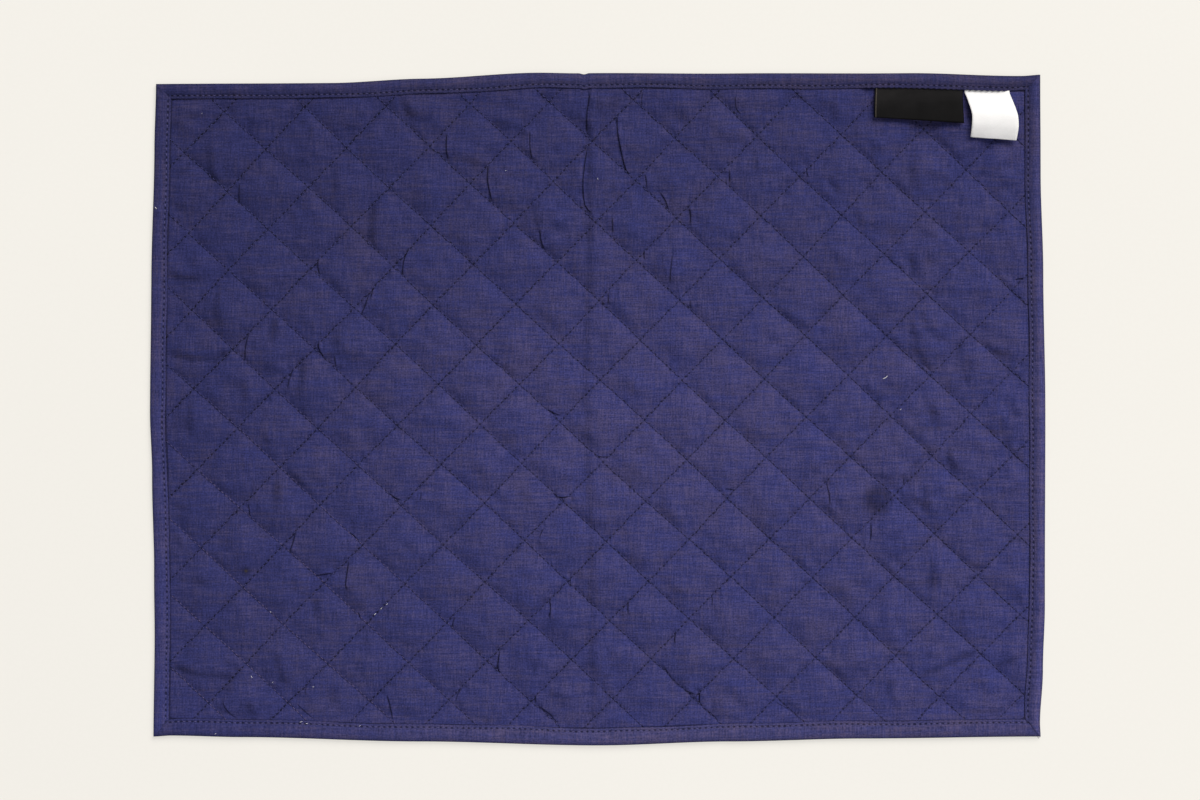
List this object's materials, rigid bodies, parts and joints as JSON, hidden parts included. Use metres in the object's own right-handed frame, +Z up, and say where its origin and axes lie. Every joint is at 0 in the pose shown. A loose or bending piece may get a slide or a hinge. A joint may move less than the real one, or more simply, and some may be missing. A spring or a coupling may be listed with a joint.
{
  "type": "fabric placemat",
  "caption": "Rectangular quilted cotton placemat lying flat, with a stitched diamond lattice, a mitred edge binding and two bare labels under one edge.",
  "frame": {"origin": "on the table, under the middle of the mat's bounds", "axes": "+X along the long side, +Y towards the long side that carries the labels, +Z up from the table, out of the quilted face"},
  "size_m": [0.4525, 0.3398, 0.0089],
  "materials": {
    "navy_cotton": "matt plain weave, quilted",
    "navy_binding": "matt plain weave, folded and stitched",
    "black_tape": "fine satin weave",
    "white_tape": "smooth white label tape"
  },
  "bodies": {
    "root": {"quilted_panel": "navy_cotton", "edge_binding": "navy_binding", "woven_label": "black_tape", "care_label": "white_tape"}
  },
  "joints": []
}
